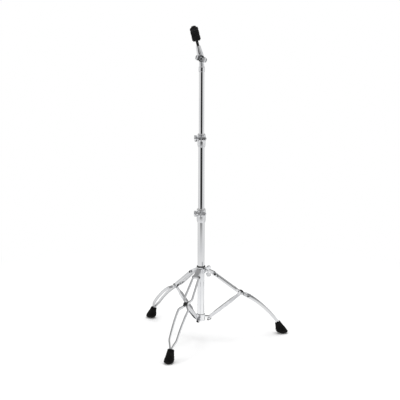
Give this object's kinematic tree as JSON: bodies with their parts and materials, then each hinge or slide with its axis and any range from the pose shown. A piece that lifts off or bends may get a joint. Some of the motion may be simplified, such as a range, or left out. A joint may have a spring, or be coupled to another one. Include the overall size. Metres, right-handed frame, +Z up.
{
  "type": "cymbal stand",
  "caption": "Straight cymbal stand: telescoping chrome tubes on a folding tripod of double-rod legs with rubber feet, and a toothed tilter with felts.",
  "frame": {"origin": "centre of the base of the whole stand's box, on the floor", "axes": "+Z up along the tubes, +X towards leg 1"},
  "size_m": [0.5106, 0.5838, 1.1573],
  "materials": {
    "chrome": "bright plate on drawn tube and rod",
    "cast_chrome": "plated castings, slightly soft edges",
    "steel": "plain rivets, nuts and thread",
    "black_steel": "black",
    "nylon": "moulded black, satin",
    "rubber": "ribbed, matt",
    "felt": "pressed black felt"
  },
  "bodies": {
    "base": {"base_tube": "chrome", "brace_bracket": "cast_chrome", "bracket_rivet": "steel", "lower_clamp": "cast_chrome", "lower_clamp_liner": "nylon", "lower_clamp_nut": "steel", "brace_1_pin": "steel", "brace_1_bush": "nylon", "brace_2_pin": "steel", "brace_2_bush": "nylon", "brace_3_pin": "steel", "brace_3_bush": "nylon"},
    "lower_wing": {"lower_wing_screw": "cast_chrome"},
    "middle_glide": {"middle_tube_glide": "nylon"},
    "middle": {"middle_tube": "chrome", "upper_clamp": "cast_chrome", "upper_clamp_liner": "nylon", "upper_clamp_nut": "steel"},
    "upper_wing": {"upper_wing_screw": "cast_chrome"},
    "top_glide": {"top_tube_glide": "nylon"},
    "top": {"top_tube": "chrome", "tilter_base": "cast_chrome", "tilter_nut": "steel"},
    "tilter_wing": {"tilter_wing_screw": "cast_chrome"},
    "tilter": {"tilter_arm": "cast_chrome", "cymbal_rod": "steel", "cymbal_sleeve": "nylon", "seat_washer": "black_steel", "lower_felt": "felt"},
    "felt_stack": {"upper_felt": "felt", "top_washer": "black_steel"},
    "wing_nut": {"cymbal_wing_nut": "nylon"},
    "collar": {"leg_collar": "cast_chrome", "collar_liner": "nylon", "leg_1_top_pin": "black_steel", "leg_2_top_pin": "black_steel", "leg_3_top_pin": "black_steel"},
    "collar_wing": {"collar_wing_screw": "cast_chrome"},
    "leg_1": {"leg_1_left_rod": "chrome", "leg_1_right_rod": "chrome", "leg_1_foot": "rubber", "leg_1_waist_pin": "steel", "leg_1_waist_bush": "nylon"},
    "brace_1": {"brace_1": "cast_chrome"},
    "leg_2": {"leg_2_left_rod": "chrome", "leg_2_right_rod": "chrome", "leg_2_foot": "rubber", "leg_2_waist_pin": "steel", "leg_2_waist_bush": "nylon"},
    "brace_2": {"brace_2": "cast_chrome"},
    "leg_3": {"leg_3_left_rod": "chrome", "leg_3_right_rod": "chrome", "leg_3_foot": "rubber", "leg_3_waist_pin": "steel", "leg_3_waist_bush": "nylon"},
    "brace_3": {"brace_3": "cast_chrome"}
  },
  "joints": [
    {"name": "tripod_fold", "type": "hinge", "parent": "base", "child": "brace_1", "pos_m": [-0.0501, 0, 0.0748], "axis": [0, -1, 0], "range_deg": [-8, 42]},
    {"name": "leg_1_waist", "type": "hinge", "parent": "brace_1", "child": "leg_1", "pos_m": [0.0723, 0, 0.165], "axis": [0, -1, 0], "range_deg": [-90, 17.5]},
    {"name": "leg_1_collar", "type": "hinge", "parent": "leg_1", "child": "collar", "pos_m": [-0.0291, 0, 0.244], "axis": [0, -1, 0], "range_deg": [-9.5, 48]},
    {"name": "leg_2_collar", "type": "hinge", "parent": "collar", "child": "leg_2", "pos_m": [-0.1041, 0.0433, 0.244], "axis": [0.866, 0.5, 0], "range_deg": [-48, 9.5]},
    {"name": "brace_2_fold", "type": "hinge", "parent": "base", "child": "brace_2", "pos_m": [-0.0936, 0.02511, 0.0748], "axis": [0.866, 0.5, 0], "range_deg": [-8, 42]},
    {"name": "leg_3_collar", "type": "hinge", "parent": "collar", "child": "leg_3", "pos_m": [-0.1041, -0.0433, 0.244], "axis": [-0.866, 0.5, 0], "range_deg": [-48, 9.5]},
    {"name": "brace_3_fold", "type": "hinge", "parent": "base", "child": "brace_3", "pos_m": [-0.0936, -0.02511, 0.0748], "axis": [-0.866, 0.5, 0], "range_deg": [-8, 42]},
    {"name": "middle_tube_slide", "type": "slide", "parent": "base", "child": "middle_glide", "axis": [0, 0, 1], "range_m": [-0.225, 0.075]},
    {"name": "middle_tube_turn", "type": "hinge", "parent": "middle_glide", "child": "middle", "pos_m": [-0.0791, 0, 0.546], "axis": [0, 0, 1], "continuous": true},
    {"name": "top_tube_slide", "type": "slide", "parent": "middle", "child": "top_glide", "axis": [0, 0, 1], "range_m": [-0.22, 0.09]},
    {"name": "top_tube_turn", "type": "hinge", "parent": "top_glide", "child": "top", "pos_m": [-0.0791, 0, 0.808], "axis": [0, 0, 1], "continuous": true},
    {"name": "lower_wing_turn", "type": "hinge", "parent": "base", "child": "lower_wing", "pos_m": [-0.08323, -0.01942, 0.4765], "axis": [-0.9781, 0.2079, 0], "range_deg": [0, 450]},
    {"name": "upper_wing_turn", "type": "hinge", "parent": "middle", "child": "upper_wing", "pos_m": [-0.0828, -0.01741, 0.7535], "axis": [-0.9781, 0.2079, 0], "range_deg": [0, 450]},
    {"name": "tilter_wing_turn", "type": "hinge", "parent": "top", "child": "tilter_wing", "pos_m": [-0.08137, 0.00036, 1.04], "axis": [-0.1564, -0.9877, 0], "range_deg": [0, 450]},
    {"name": "cymbal_tilt", "type": "hinge", "parent": "top", "child": "tilter", "pos_m": [-0.08137, 0.00036, 1.04], "axis": [0.1564, 0.9877, 0], "range_deg": [-60, 70]},
    {"name": "felt_lift", "type": "slide", "parent": "tilter", "child": "felt_stack", "axis": [-0.2389, 0.0378, 0.9703], "range_m": [0, 0.045]},
    {"name": "wing_nut_turn", "type": "hinge", "parent": "felt_stack", "child": "wing_nut", "pos_m": [-0.10766, 0.00452, 1.14673], "axis": [-0.2389, 0.0378, 0.9703], "continuous": true},
    {"name": "collar_wing_turn", "type": "hinge", "parent": "collar", "child": "collar_wing", "pos_m": [-0.0626, -0.02858, 0.264], "axis": [0.5, -0.866, 0], "range_deg": [0, 450]}
  ],
  "couplings": [
    {"joint": "leg_1_waist", "follows": "tripod_fold", "ratio": -2.138},
    {"joint": "leg_1_collar", "follows": "tripod_fold", "ratio": 1.138},
    {"joint": "leg_2_collar", "follows": "tripod_fold", "ratio": -1.138},
    {"joint": "brace_2_fold", "follows": "tripod_fold", "ratio": 1},
    {"joint": "leg_3_collar", "follows": "tripod_fold", "ratio": -1.138},
    {"joint": "brace_3_fold", "follows": "tripod_fold", "ratio": 1}
  ]
}
